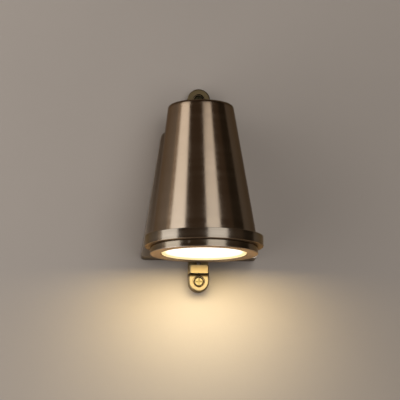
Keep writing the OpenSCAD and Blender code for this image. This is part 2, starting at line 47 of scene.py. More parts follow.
# Shapes are worked out in millimetres: x across, depth out from the wall, height above the bezel's foot.
bezelLow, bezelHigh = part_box("bezel")
collarLow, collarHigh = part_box("collar")
place = {
    "axisDepth": -1000 * (bezelLow.y + bezelHigh.y) / 2,
    "frameHeight": -1000 * bezelLow.z,  # height of the frame's origin above the bezel's foot
    "bezelRadius": 500 * (bezelHigh.x - bezelLow.x),
    "collarRadius": 500 * (collarHigh.x - collarLow.x),
}


def placed(x, depth, height):
    # millimetres to metres in the shared frame
    x, depth, height = np.broadcast_arrays(x, depth, height)
    return np.stack([x, -depth, height - place["frameHeight"]], axis=-1) * 0.001


def gridFaces(rows, columns, closeRows, closeColumns):
    # quads between neighbouring points of a grid, wrapped round where asked
    row = np.arange(rows if closeRows else rows - 1)[:, None]
    column = np.arange(columns if closeColumns else columns - 1)[None, :]
    nextRow, nextColumn = (row + 1) % rows, (column + 1) % columns
    corners = [row * columns + column, row * columns + nextColumn,
               nextRow * columns + nextColumn, nextRow * columns + column]
    return np.stack(np.broadcast_arrays(*corners), axis=-1).reshape(-1, 4)


# how meshes are cleaned and eased: lengths in metres, angles in degrees
meshing = {"merge": 1e-6, "mergeCopy": 2e-6, "joinFlat": 0.5, "breakOver": 32, "bevelSteps": 2,
           "keepSharp": 35}


def newObject(name, points, faces):
    # mesh object from points and faces, its doubles merged and its faces turned outwards
    mesh = bpy.data.meshes.new(name)
    mesh.from_pydata(points.reshape(-1, 3).tolist(), [], faces)
    shell = bmesh.new()
    shell.from_mesh(mesh)
    bmesh.ops.remove_doubles(shell, verts=shell.verts, dist=meshing["merge"])
    bmesh.ops.recalc_face_normals(shell, faces=shell.faces)
    shell.to_mesh(mesh)
    shell.free()
    obj = bpy.data.objects.new(name, mesh)
    bpy.context.scene.collection.objects.link(obj)
    return obj


def stackObject(name, grid):
    # closed solid from rings of points stacked in rows, with a flat face on the first and last ring
    rows, columns = grid.shape[:2]
    faces = gridFaces(rows, columns, False, True).tolist()
    faces.append(list(range(columns)))
    faces.append(list(range((rows - 1) * columns, rows * columns)))
    return newObject(name, grid, faces)


def roundedProfile(corners, radius, steps=5, sideShare=0.45):
    # closed outline whose corners become arcs: each arc's centre lies on the corner's bisector, and an
    # arc takes up no more than a share of the sides that it joins
    corner = np.array(corners, float)
    toLast = np.roll(corner, 1, axis=0) - corner
    toNext = np.roll(corner, -1, axis=0) - corner
    lastLength = np.linalg.norm(toLast, axis=1, keepdims=True)
    nextLength = np.linalg.norm(toNext, axis=1, keepdims=True)
    toLast, toNext = toLast / lastLength, toNext / nextLength
    half = np.arccos(np.clip((toLast * toNext).sum(axis=1, keepdims=True), -1, 1)) / 2
    cut = np.minimum(radius / np.tan(half), sideShare * np.minimum(lastLength, nextLength))
    bisector = toLast + toNext
    bisector /= np.linalg.norm(bisector, axis=1, keepdims=True)
    centre = corner + bisector * cut / np.cos(half)
    start, end = corner + toLast * cut - centre, corner + toNext * cut - centre
    sweep = (math.pi - 2 * half)[:, None, :]
    share = np.linspace(0, 1, steps)[None, :, None]
    arc = (np.sin((1 - share) * sweep) * start[:, None]
           + np.sin(share * sweep) * end[:, None]) / np.sin(sweep)
    return (centre[:, None] + arc).reshape(-1, 2)


def turnedGrid(profile, segments, flatDepth=None):
    # radius and height pairs swept round the upright axis, cut back to a flat at the given depth
    turn = np.linspace(0, 2 * math.pi, segments, endpoint=False)[:, None]
    radius = profile[None, :, 0]
    if flatDepth is not None:
        reach = (place["axisDepth"] - flatDepth) / np.maximum(-np.cos(turn), 1e-6)
        radius = np.where(-np.cos(turn) > 0, np.minimum(radius, reach), radius)
    return placed(radius * np.sin(turn), place["axisDepth"] + radius * np.cos(turn), profile[None, :, 1])


def turnedRing(name, profile, segments, flatDepth=None):
    # closed ring made by sweeping a closed profile
    grid = turnedGrid(profile, segments, flatDepth)
    return newObject(name, grid, gridFaces(segments, profile.shape[0], True, True))


def rodGrid(start, end, radius, segments=32):
    # two circles of points square to the line between two places
    start, end = np.array(start, float), np.array(end, float)
    line = (end - start) / np.linalg.norm(end - start)
    upright = abs(line[2]) >= 0.9
    side = np.cross(line, [0.0, 1.0, 0.0] if upright else [0.0, 0.0, 1.0])
    side /= np.linalg.norm(side)
    other = np.cross(line, side)
    turn = np.linspace(0, 2 * math.pi, segments, endpoint=False)[:, None]
    ring = radius * (np.cos(turn) * side + np.sin(turn) * other)
    both = np.stack([start + ring, end + ring])
    return placed(both[..., 0], both[..., 1], both[..., 2])


def rodCutter(start, end, radius, segments=32):
    # round bar between two places
    return stackObject("cutter", rodGrid(start, end, radius, segments))


def prismCutter(corners, near, far):
    # flat outline of x and height pairs, drawn out between two depths
    outline = np.array(corners, float)
    return stackObject("cutter", placed(
        outline[None, :, 0], np.array([[near], [far]]), outline[None, :, 1]))


def blockCutter(halfWidth, near, far, low, high):
    # upright block across the middle, between two depths and two heights
    return prismCutter([
        (-halfWidth, low), (halfWidth, low), (halfWidth, high), (-halfWidth, high)], near, far)


def carve(obj, cutters, operation="DIFFERENCE"):
    # takes each cutter from the piece, or joins it on, and keeps the result as the piece's mesh
    for cutter in cutters:
        step = obj.modifiers.new("carve", "BOOLEAN")
        step.operation, step.solver, step.object = operation, "EXACT", cutter
        bpy.context.view_layer.update()
        result = bpy.data.meshes.new_from_object(obj.evaluated_get(bpy.context.evaluated_depsgraph_get()))
        obj.modifiers.remove(step)
        obj.data = result
        bpy.data.objects.remove(cutter)
    return obj


def smoothed(obj, angle):
    # smooth shading that keeps flat faces, and edges sharper than the angle
    obj.data.shade_smooth()
    obj.data.set_sharp_from_angle(angle=math.radians(angle))
    obj.modifiers.new("flatFaces", "WEIGHTED_NORMAL").keep_sharp = True
    return obj


def easedCopy(name, nodeName, width):
    # copy of a CAD node, merged, with its flat faces joined and its edges broken by a small bevel
    mesh = nodes[nodeName].data.copy()
    shell = bmesh.new()
    shell.from_mesh(mesh)
    bmesh.ops.remove_doubles(shell, verts=shell.verts, dist=meshing["mergeCopy"])
    bmesh.ops.dissolve_limit(
        shell, angle_limit=math.radians(meshing["joinFlat"]), verts=shell.verts, edges=shell.edges)
    shell.to_mesh(mesh)
    shell.free()
    obj = bpy.data.objects.new(name, mesh)
    bpy.context.scene.collection.objects.link(obj)
    bevel = obj.modifiers.new("brokenEdges", "BEVEL")
    bevel.limit_method, bevel.angle_limit = "ANGLE", math.radians(meshing["breakOver"])
    bevel.width, bevel.segments = width * 0.001, meshing["bevelSteps"]
    return smoothed(obj, meshing["keepSharp"])


# Finishes

def newGroup(name, inputs, outputs):
    # empty node group: an input is a name, a kind and a value, an output a name and a kind
    group = bpy.data.node_groups.new(name, "ShaderNodeTree")
    for socketName, kind, value in inputs:
        socket = group.interface.new_socket(socketName, in_out="INPUT", socket_type=kind)
        socket.default_value = value
    for socketName, kind in outputs:
        group.interface.new_socket(socketName, in_out="OUTPUT", socket_type=kind)
    return group, group.nodes.new("NodeGroupInput"), group.nodes.new("NodeGroupOutput")


def addNode(tree, kind, settings=None, values=None):
    # node with its settings, and constants on its sockets
    node = tree.nodes.new(kind)
    for name, value in (settings or {}).items():
        setattr(node, name, value)
    for name, value in (values or {}).items():
        node.inputs[name].default_value = value
    return node


def link(tree, source, target):
    # wire from an output to an input
    tree.links.new(source, target)


def grainGroup():
    # fine brushed lines: noise on object coordinates that are stretched far more across the lines than along
    group, given, result = newGroup("brushedGrain", [("Stretch", "NodeSocketVector", (1, 1, 1))],
                                    [("Lines", "NodeSocketFloat"), ("Streaks", "NodeSocketFloat")])
    place3d = addNode(group, "ShaderNodeTexCoord")
    fine = addNode(group, "ShaderNodeVectorMath", {"operation": "MULTIPLY"})
    coarse = addNode(group, "ShaderNodeVectorMath", {"operation": "SCALE"}, {"Scale": 0.12})
    lines = addNode(group, "ShaderNodeTexNoise", None, {"Scale": 1.0, "Detail": 3.0, "Roughness": 0.6})
    streaks = addNode(group, "ShaderNodeTexNoise", None, {"Scale": 1.0, "Detail": 2.0, "Roughness": 0.5})
    link(group, place3d.outputs["Object"], fine.inputs[0])
    link(group, given.outputs["Stretch"], fine.inputs[1])
    link(group, fine.outputs[0], coarse.inputs[0])
    link(group, fine.outputs[0], lines.inputs["Vector"])
    link(group, coarse.outputs[0], streaks.inputs["Vector"])
    link(group, lines.outputs["Fac"], result.inputs["Lines"])
    link(group, streaks.outputs["Fac"], result.inputs["Streaks"])
    return group


def patinaGroup():
    # slow cloudy darkening, and a mask of the convex edges where handling has brightened the metal
    group, given, result = newGroup(
        "patina", [("Size", "NodeSocketFloat", 0.02), ("Edge", "NodeSocketFloat", 0.52)],
        [("Clouds", "NodeSocketFloat"), ("Wear", "NodeSocketFloat")])
    place3d = addNode(group, "ShaderNodeTexCoord")
    scale = addNode(group, "ShaderNodeMath", {"operation": "DIVIDE"})
    scale.inputs[0].default_value = 1.0
    clouds = addNode(group, "ShaderNodeTexNoise", None, {"Detail": 4.0, "Roughness": 0.6, "Distortion": 0.4})
    geometry = addNode(group, "ShaderNodeNewGeometry")
    wear = addNode(group, "ShaderNodeMapRange", None, {"From Max": 0.62, "To Min": 0.0, "To Max": 1.0})
    link(group, given.outputs["Size"], scale.inputs[1])
    link(group, place3d.outputs["Object"], clouds.inputs["Vector"])
    link(group, scale.outputs[0], clouds.inputs["Scale"])
    link(group, geometry.outputs["Pointiness"], wear.inputs["Value"])
    link(group, given.outputs["Edge"], wear.inputs["From Min"])
    link(group, clouds.outputs["Fac"], result.inputs["Clouds"])
    link(group, wear.outputs["Result"], result.inputs["Wear"])
    return group


def rampGroup():
    # a zone's soft border: the place along a direction, from 0 at the start to 1 at the end
    group, given, result = newGroup("zoneRamp", [
        ("Place", "NodeSocketVector", (0, 0, 0)), ("Direction", "NodeSocketVector", (0, 0, 1)),
        ("Start", "NodeSocketFloat", 0.0), ("End", "NodeSocketFloat", 1.0)], [("Mask", "NodeSocketFloat")])
    along = addNode(group, "ShaderNodeVectorMath", {"operation": "DOT_PRODUCT"})
    ramp = addNode(group, "ShaderNodeMapRange")
    link(group, given.outputs["Place"], along.inputs[0])
    link(group, given.outputs["Direction"], along.inputs[1])
    link(group, along.outputs["Value"], ramp.inputs["Value"])
    link(group, given.outputs["Start"], ramp.inputs["From Min"])
    link(group, given.outputs["End"], ramp.inputs["From Max"])
    link(group, ramp.outputs["Result"], result.inputs["Mask"])
    return group


grain, patina, zoneRamp = grainGroup(), patinaGroup(), rampGroup()


def rampMask(tree, ramps):
    # product of ramps, each along a direction of the object's coordinates or of its normal
    source = addNode(tree, "ShaderNodeTexCoord")
    mask = None
    for kind, direction, start, end in ramps:
        ramp = addNode(tree, "ShaderNodeGroup", {"node_tree": zoneRamp}, {
            "Direction": direction, "Start": start, "End": end})
        link(tree, source.outputs[kind], ramp.inputs["Place"])
        if mask is None:
            mask = ramp.outputs["Mask"]
        else:
            both = addNode(tree, "ShaderNodeMath", {"operation": "MULTIPLY"})
            link(tree, mask, both.inputs[0])
            link(tree, ramp.outputs["Mask"], both.inputs[1])
            mask = both.outputs[0]
    return mask


def mixValues(tree, factor, first, second):
    # from the first socket's value to the second value as the factor rises
    mix = addNode(tree, "ShaderNodeMix", None, {"B": second})
    link(tree, factor, mix.inputs[0])
    link(tree, first, mix.inputs[2])
    return mix.outputs[0]


def mixColors(tree, factor, first, second, blend="MIX"):
    # first and second are colours or sockets
    mix = addNode(tree, "ShaderNodeMix", {"data_type": "RGBA", "blend_type": blend})
    for socket, value in ((mix.inputs[0], factor), (mix.inputs[6], first), (mix.inputs[7], second)):
        if isinstance(value, bpy.types.NodeSocket):
            link(tree, value, socket)
        else:
            socket.default_value = value if isinstance(value, float) else (*value, 1)
    return mix.outputs[2]


def metalFinish(name, look):
    # metal: its colour runs from dark to light with the clouds, times the streaks, brighter at worn edges,
    # and times each zone's tone where its mask is 1, most zones being painted light and shade; roughness
    # follows the streaks, normals the fine lines
    material = bpy.data.materials.new(name)
    material.use_nodes = True
    tree = material.node_tree
    shader = tree.nodes["Principled BSDF"]
    shader.inputs["Metallic"].default_value = 1.0
    shader.inputs["Specular Tint"].default_value = (*look["grazing"], 1)
    lines = addNode(tree, "ShaderNodeGroup", {"node_tree": grain}, {"Stretch": look["stretch"]})
    age = addNode(tree, "ShaderNodeGroup", {"node_tree": patina}, {"Size": look["cloudSize"], "Edge": 0.53})
    base = mixColors(tree, age.outputs["Clouds"], look["dark"], look["light"])
    streaked = mixColors(tree, lines.outputs["Streaks"], look["streak"], (1, 1, 1))
    base = mixColors(tree, look["streakShare"], base, streaked, "MULTIPLY")
    base = mixColors(tree, age.outputs["Wear"], base, look["worn"])
    for ramps, tone in look.get("zones", []):
        base = mixColors(tree, rampMask(tree, ramps), base, mixColors(tree, 1.0, base, tone, "MULTIPLY"))
    link(tree, base, shader.inputs["Base Color"])
    rough = addNode(tree, "ShaderNodeMapRange", None, {
        "From Min": 0.3, "From Max": 0.7, "To Min": look["roughness"][0], "To Max": look["roughness"][1]})
    link(tree, lines.outputs["Streaks"], rough.inputs["Value"])
    roughness = rough.outputs["Result"]
    if "satin" in look:
        ramps, satin = look["satin"]
        roughness = mixValues(tree, rampMask(tree, ramps), roughness, satin)
    link(tree, roughness, shader.inputs["Roughness"])
    bump = addNode(tree, "ShaderNodeBump", None, {"Strength": look["bump"], "Distance": 0.00006})
    link(tree, lines.outputs["Lines"], bump.inputs["Height"])
    link(tree, bump.outputs["Normal"], shader.inputs["Normal"])
    return material


def plainFinish(name, look):
    # rubber, ceramic or plastic: a slightly clouded colour with a fine tooth
    material = bpy.data.materials.new(name)
    material.use_nodes = True
    tree = material.node_tree
    shader = tree.nodes["Principled BSDF"]
    age = addNode(tree, "ShaderNodeGroup", {"node_tree": patina}, {"Size": look["cloudSize"], "Edge": 0.55})
    base = mixColors(tree, age.outputs["Clouds"], look["dark"], look["light"])
    link(tree, mixColors(tree, age.outputs["Wear"], base, look["light"]), shader.inputs["Base Color"])
    rough = addNode(tree, "ShaderNodeMapRange", None, {
        "To Min": look["roughness"][0], "To Max": look["roughness"][1]})
    link(tree, age.outputs["Clouds"], rough.inputs["Value"])
    link(tree, rough.outputs["Result"], shader.inputs["Roughness"])
    tooth = addNode(tree, "ShaderNodeTexNoise", None, {"Scale": look["tooth"], "Detail": 3.0})
    place3d = addNode(tree, "ShaderNodeTexCoord")
    bump = addNode(tree, "ShaderNodeBump", None, {"Strength": 0.25, "Distance": 0.00005})
    link(tree, place3d.outputs["Object"], tooth.inputs["Vector"])
    link(tree, tooth.outputs["Fac"], bump.inputs["Height"])
    link(tree, bump.outputs["Normal"], shader.inputs["Normal"])
    return material


bronzeLook = {
    "dark": (0.209, 0.166, 0.123), "light": (0.250, 0.205, 0.160), "worn": (0.30, 0.24, 0.17),
    "streak": (0.80, 0.78, 0.75), "streakShare": 0.6, "grazing": (0.60, 0.52, 0.44),
    "roughness": (0.14, 0.20), "bump": 0.12, "cloudSize": 0.03,
}
around, across = (30, 30, 2600), (18, 1500, 2400)  # scale of the grain along x, y and z


def up(height):
    # height above the bezel's foot to the frame's metres
    return 0.001 * (height - place["frameHeight"])


def heightRamp(start, end):
    # ramp between two heights above the bezel's foot
    return "Object", (0, 0, 1), up(start), up(end)


# where a finish changes, or where light and shade are painted on, from no effect to all of it: heights in
# millimetres above the bezel's foot, and where it says so metres in the frame, or the part of a normal that
# faces a way
borders = {
    "paintedShadeHigh": (-0.04, 0.06), "paintedShadeNearWall": (-0.019, -0.011),  # metres up, and metres out with a minus sign
    "facingDown": (0.5, 0.9), "facingLeft": (0.62, 0.85),  # parts of the normal
    "crown": (110, 112.5), "boxTop": (98.5, 97), "collarFoot": (5.75, 5.35), "paintedLightBezelFoot": (0.6, 0.15),
    "lugFoot": (-9.5, -8.5), "shadowFoot": (-10.4, -9.2), "shadowTop": (-7.75, -7.95), "paintedLightLowTab": (-7.8, -8.0),
    "boxFoot": 3, "boxSlant": 0.0798,  # the box's front leans back by this share of the height
    "boxDepth": 0.0165, "boxSkin": (0.0026, 0.0004),  # metres: its depth at the foot, and how far before it
}
# painted shade: darker higher up, which dims the cone's highlights near its top and shades the upper bracket
# and its screw
paintedShadeHigh = [("Object", (0, 0, 1), *borders["paintedShadeHigh"])]
# painted shade: darker close to the wall, where shade falls between the box and the wall
paintedShadeNearWall = [("Object", (0, 1, 0), *borders["paintedShadeNearWall"])]
# painted reflection: lighter where a face turns to the left, towards the lit wall on that side
paintedReflectionLeft = [("Normal", (-1, 0, 0), *borders["facingLeft"])]
# the crown's mask paints shade on the rounding at the cone's top
crown, paintedLightLowTab = [heightRamp(*borders["crown"])], [heightRamp(*borders["paintedLightLowTab"])]
# the bezel's and the collar's foot masks paint light on their undersides
paintedLightBezelFoot, collarFoot = [heightRamp(*borders["paintedLightBezelFoot"])], [heightRamp(*borders["collarFoot"])]
# painted shade on faces turned down under the lug
paintedShadeUnderLug = [("Normal", (0, 0, -1), *borders["facingDown"]), heightRamp(*borders["lugFoot"])]
# painted shadow that the lug casts on the tab below it
paintedShadowBelowLug = [heightRamp(*borders["shadowFoot"]), heightRamp(*borders["shadowTop"])]
boxFront = up(borders["boxFoot"]) * borders["boxSlant"] + borders["boxDepth"]  # dot product on the front
castBox = [("Object", (0, -1, borders["boxSlant"]), *[boxFront + skin for skin in borders["boxSkin"]]),
           heightRamp(*borders["boxTop"])]
metals = {
    "bronzeCone": metalFinish("bronzeCone", {
        **bronzeLook, "stretch": (60, 60, 2200), "satin": (castBox, 0.42),
        # the cone's zones: painted shade higher up, on the crown and near the wall, and a painted reflection on
        # faces turned left; the cast box's lighter, greyer tone is its own finish
        "zones": [(paintedShadeHigh, (0.87, 0.81, 0.75)), (crown, (0.55, 0.52, 0.50)), (castBox, (1.42, 1.54, 1.70)),
                  (paintedShadeNearWall, (0.66, 0.66, 0.66)), (paintedReflectionLeft, (1.42, 1.38, 1.36))]}),
    "bronzeTurned": metalFinish("bronzeTurned", {
        **bronzeLook, "stretch": around, "dark": (0.205, 0.176, 0.142), "light": (0.256, 0.222, 0.182),
        "streak": (0.58, 0.56, 0.53), "streakShare": 0.9, "grazing": (0.9, 0.74, 0.52), "bump": 0.2,
        # painted light on the collar's underside
        "zones": [(collarFoot, (1.6, 1.35, 1.1))], "satin": (collarFoot, 0.5)}),
    "bronzeBezel": metalFinish("bronzeBezel", {
        **bronzeLook, "stretch": around, "dark": (0.186, 0.156, 0.121), "light": (0.228, 0.194, 0.152),
        "streak": (0.58, 0.55, 0.51), "streakShare": 0.9, "grazing": (1.0, 0.80, 0.55), "bump": 0.2,
        # painted light on the bezel's underside
        "zones": [(paintedLightBezelFoot, (2.30, 2.25, 2.50))], "satin": (paintedLightBezelFoot, 0.42)}),
    "bronzeBrushed": metalFinish("bronzeBrushed", {
        **bronzeLook, "stretch": across, "dark": (0.202, 0.154, 0.075), "light": (0.254, 0.197, 0.096),
        "bump": 0.3, "roughness": (0.44, 0.52),
        # the bracket's zones: painted shade higher up and under the lug, the lug's painted shadow on the tab,
        # and the lamp's painted light on the lower tab
        "zones": [(paintedShadeHigh, (0.36, 0.35, 0.37)), (paintedShadeUnderLug, (0.12, 0.10, 0.08)),
                  # painted light: the lower tab as the lamp lights it
                  (paintedLightLowTab, (1.03, 1.08, 1.33)), (paintedShadowBelowLug, (0.16, 0.13, 0.10))]}),
    "bronzeScrew": metalFinish("bronzeScrew", {
        **bronzeLook, "stretch": across, "dark": (0.192, 0.157, 0.075), "light": (0.244, 0.205, 0.100),
        # painted shade on the upper screw, in the shade of its recess
        "bump": 0.25, "roughness": (0.40, 0.50), "zones": [(paintedShadeHigh, (0.10, 0.10, 0.09))]}),
    "steel": metalFinish("steel", {
        **bronzeLook, "dark": (0.40, 0.39, 0.37), "light": (0.50, 0.49, 0.46), "worn": (0.65, 0.64, 0.62),
        "grazing": (1, 1, 1), "stretch": around, "bump": 0.15}),
    "brass": metalFinish("brass", {
        **bronzeLook, "dark": (0.52, 0.38, 0.17), "light": (0.62, 0.47, 0.22), "worn": (0.75, 0.6, 0.33),
        "grazing": (1, 0.95, 0.85), "stretch": around, "bump": 0.15}),
    "blackened": metalFinish("blackened", {
        **bronzeLook, "dark": (0.035, 0.030, 0.026), "light": (0.055, 0.047, 0.040),
        "worn": (0.12, 0.10, 0.085), "grazing": (0.6, 0.6, 0.6), "stretch": around,
        "roughness": (0.35, 0.45)}),
    "reflector": metalFinish("reflector", {
        **bronzeLook, "dark": (0.75, 0.75, 0.76), "light": (0.85, 0.85, 0.86), "worn": (0.9, 0.9, 0.9),
        "streakShare": 0.2, "grazing": (1, 1, 1), "stretch": around, "roughness": (0.12, 0.2), "bump": 0.1}),
}
plains = {
    "rubber": plainFinish("rubber", {
        "dark": (0.018, 0.018, 0.018), "light": (0.035, 0.034, 0.033), "roughness": (0.5, 0.7),
        "tooth": 2500, "cloudSize": 0.01}),
    "fibre": plainFinish("fibre", {
        "dark": (0.42, 0.29, 0.14), "light": (0.55, 0.40, 0.22), "roughness": (0.5, 0.7),
        "tooth": 2000, "cloudSize": 0.01}),
    "ceramic": plainFinish("ceramic", {
        "dark": (0.66, 0.63, 0.57), "light": (0.78, 0.75, 0.69), "roughness": (0.35, 0.5),
        "tooth": 1200, "cloudSize": 0.012}),
    "terminalPlastic": plainFinish("terminalPlastic", {
        "dark": (0.70, 0.69, 0.66), "light": (0.80, 0.79, 0.77), "roughness": (0.3, 0.45),
        "tooth": 1800, "cloudSize": 0.01}),
}


def litGlass(name, look):
    # frosted glass that glows, brightest in the middle and creamier towards its rim
    material = bpy.data.materials.new(name)
    material.use_nodes = True
    tree = material.node_tree
    shader = tree.nodes["Principled BSDF"]
    shader.inputs["Emission Strength"].default_value = look["strength"]
    shader.inputs["Roughness"].default_value = look["roughness"]
    place3d = addNode(tree, "ShaderNodeTexCoord")
    centred = addNode(tree, "ShaderNodeMapping", None, {"Location": (0, 0.001 * place["axisDepth"], 0),
                                                        "Scale": (1, 1, 0)})
    distance = addNode(tree, "ShaderNodeVectorMath", {"operation": "LENGTH"})
    fade = addNode(tree, "ShaderNodeMapRange", {"interpolation_type": "SMOOTHSTEP"}, {
        "From Min": look["fadeFrom"], "From Max": look["fadeTo"]})
    frost = addNode(tree, "ShaderNodeTexNoise", None, {"Scale": look["frostScale"], "Detail": 3.0})
    link(tree, place3d.outputs["Object"], centred.inputs["Vector"])
    link(tree, centred.outputs["Vector"], distance.inputs[0])
    link(tree, distance.outputs["Value"], fade.inputs["Value"])
    link(tree, place3d.outputs["Object"], frost.inputs["Vector"])
    glowColor = mixColors(tree, fade.outputs["Result"], look["middle"], look["rim"])
    link(tree, mixColors(tree, frost.outputs["Fac"], glowColor, look["grain"], "MULTIPLY"),
         shader.inputs["Emission Color"])
    frostColor = mixColors(tree, frost.outputs["Fac"], look["frostDark"], look["frostLight"])
    link(tree, mixColors(tree, fade.outputs["Result"], frostColor, look["rimGlass"]),
         shader.inputs["Base Color"])
    bump = addNode(tree, "ShaderNodeBump", None, {"Strength": 0.4, "Distance": 0.00005})
    link(tree, frost.outputs["Fac"], bump.inputs["Height"])
    link(tree, bump.outputs["Normal"], shader.inputs["Normal"])
    return material


# the fade to the rim runs between two distances from the axis, in metres
glassLook = {
    "roughness": 0.45, "frostScale": 1600.0, "frostDark": (0.82, 0.78, 0.70), "frostLight": (0.88, 0.85, 0.78),
}
frostedGlass = litGlass("frostedGlass", {
    **glassLook, "strength": 1.15, "fadeFrom": 0.0252, "fadeTo": 0.0285, "middle": (1.0, 0.97, 0.90),
    "rim": (0.72, 0.59, 0.29), "grain": (0.96, 0.95, 0.93), "rimGlass": (0.45, 0.38, 0.25)})
lampCover = litGlass("lampCover", {
    **glassLook, "strength": 1.3, "fadeFrom": 0.010, "fadeTo": 0.024, "middle": (1.0, 0.95, 0.84),
    "rim": (1.0, 0.84, 0.56), "grain": (0.95, 0.94, 0.92), "rimGlass": (0.7, 0.62, 0.48)})


def finished(obj, material, slotName, body, *replacedNodes):
    # gives a piece its material, the body it rides on and the nodes it stands for; the slot's name is not used
    obj.data.materials.clear()
    obj.data.materials.append(material)
    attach(obj, body)
    if replacedNodes:
        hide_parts(*replacedNodes)
    return obj


print("finishes made")

# Shade: the leaning cone and the tapered back box as one skin
shade = {
    # cone
    "footHeight": 12.63, "topHeight": 114.0, "footRadius": 37.3, "topRadius": 23.9, "topDepth": 24.1,
    "topRound": 2.6, "wall": 4.0, "crown": 6.0, "padDepth": 14.0, "back": 1.0,
    # box
    "boxFoot": 3.0, "boxTop": 97.0, "footHalf": 42.63, "topHalf": 27.6, "footDepth": 16.5, "boxTopDepth": 9.0,
    "cornerRound": 3.0, "edgeRound": 0.12, "blend": 3.2,
    # room for collar, bezel, lug and carrier, and the spigot that the collar sits on
    "collarRoom": 0.3, "bezelRoom": 0.7, "collarFoot": 5.26, "lugDepth": 12.0,
    "carrierSeat": 33.5, "carrierTop": 15.7,
    "spigot": 2.1, "spigotInset": 0.05, "spigotTaper": 2, "spigotRise": 1,
    # hollows in the back; a hook pocket is its half width, near and far depth, low and high
    "channelHalf": 7.8, "channelDepth": 3.3, "channelTop": 116,
    "hollowInner": 11.5, "hollowRim": 4.6, "hollowFoot": 4.5, "hollowTop": 9, "hollowDepth": 6,
    "hookPockets": [(5.3, 0, 9.3, 100.4, 107.1), (5.3, 6.2, 9.3, 103.9, 110.3)],
    # holes; a screw hole is its x and height
    "cableHeight": 74, "cableDepth": 16, "cableHole": 4.55, "lockDepth": 8.5, "lockTop": 11.1, "lockHole": 1.55,
    "screwHoles": [(-4.5, 63.3), (4.5, 63.3), (0, 88.5)], "screwNear": 7, "screwFar": 15, "screwHole": 1.3,
    "over": 1,  # how far a cutter stands out of the piece
    "segments": 128, "keepSharp": 30,
}
pathSteps = {"back": 8, "flank": 6, "corner": 7, "front": 8, "blend": 10, "round": 90}  # points of half a row
rowSteps = {"corner": 9, "slab": 7, "seat": 6, "box": 60, "cone": 12, "crown": 12}  # rows of each stretch
coneStations = [180, 152, 138, 134, 128]  # where the bare cone's stretches begin, in degrees from its front


def coneAt(height):
    # depth of the cone's centre and its radius at a height, both straight from foot to top
    share = (height - shade["footHeight"]) / (shade["topHeight"] - shade["footHeight"])
    centre = place["axisDepth"] + (shade["topDepth"] - place["axisDepth"]) * share
    return centre, shade["footRadius"] + (shade["topRadius"] - shade["footRadius"]) * share


def boxAt(height):
    # half width and front depth of the box at a height, with its foot's and top's corners rounded
    share = (height - shade["boxFoot"]) / (shade["boxTop"] - shade["boxFoot"])
    edge = np.minimum(height - shade["boxFoot"], shade["boxTop"] - height)
    lost = [r - np.sqrt(np.maximum(r * r - np.maximum(r - edge, 0) ** 2, 0))
            for r in (shade["cornerRound"], shade["edgeRound"])]
    half = shade["footHalf"] + (shade["topHalf"] - shade["footHalf"]) * share
    front = shade["footDepth"] + (shade["boxTopDepth"] - shade["footDepth"]) * share
    return half - lost[0], front - lost[1]


def shares(name):
    # even shares along a stretch, without its end
    return np.linspace(0, 1, pathSteps[name], endpoint=False)[None, :]


def sidePath(half, front):
    # back, flank, rounded corner: the stretches that every row with the box has
    r, quarter = shade["edgeRound"], shares("corner") * math.pi / 2
    x = [half * shares("back"), half + 0 * shares("flank"), half - r * (1 - np.cos(quarter))]
    depth = [shade["back"] + 0 * half * shares("back"),
             shade["back"] + (front - r - shade["back"]) * shares("flank"), front - r * (1 - np.sin(quarter))]
    return x, depth


def joinedRows(height):
    # outline of box and cone together: the blend is a circle that touches the box's front and the cone
    half, front = boxAt(height)
    centre, radius = coneAt(height)
    r = shade["blend"]
    away = centre - front - r
    contact = np.sqrt((radius + r) ** 2 - away ** 2)
    bend = np.arctan2(contact, away)
    x, depth = sidePath(half, front)
    start = half - shade["edgeRound"]
    x.append(start + (contact - start) * shares("front"))
    depth.append(front + 0 * half * shares("front"))
    x.append(contact - r * np.sin(bend * shares("blend")))
    depth.append(front + r - r * np.cos(bend * shares("blend")))
    swing = (math.pi - bend) * (1 - shares("round"))
    x.append(radius * np.sin(swing))
    depth.append(centre + radius * np.cos(swing))
    return np.concatenate(x, axis=1), np.concatenate(depth, axis=1), contact, radius


def coneRows(height, centre, radius, meeting):
    # outline of the cone alone, flattened where it would pass the gasket's plane; meeting is the angle
    # at which the blend ended in the rows below, so that the stretches keep their places
    degrees = [*coneStations, meeting]
    names = ["back", "flank", "corner", "front", "blend"]
    angle = [np.radians(a + (b - a) * shares(n)) for a, b, n in zip(degrees, degrees[1:], names)]
    angle.append(math.radians(meeting) * (1 - shares("round")))
    angle = np.concatenate(angle, axis=1)
    return radius * np.sin(angle), np.maximum(centre + radius * np.cos(angle), shade["back"])


def slabRows(height, room):
    # outline of the box's foot: its front is cut by the seat of the collar or bezel, down to the lug's depth
    half, front = boxAt(height)
    away = place["axisDepth"] - front
    seatX = np.sqrt(room ** 2 - away ** 2)
    innerX = np.sqrt(room ** 2 - (place["axisDepth"] - shade["lugDepth"]) ** 2)
    x, depth = sidePath(half, front)
    start = half - shade["edgeRound"]
    x.append(start + (seatX - start) * shares("front"))
    depth.append(front + 0 * half * shares("front"))
    arcX = seatX + (innerX - seatX) * shares("blend")
    x.append(arcX)
    depth.append(place["axisDepth"] - np.sqrt(room ** 2 - arcX ** 2))
    x.append((innerX + 0 * half) * (1 - shares("round")))
    depth.append(shade["lugDepth"] + 0 * half * shares("round"))
    return np.concatenate(x, axis=1), np.concatenate(depth, axis=1)


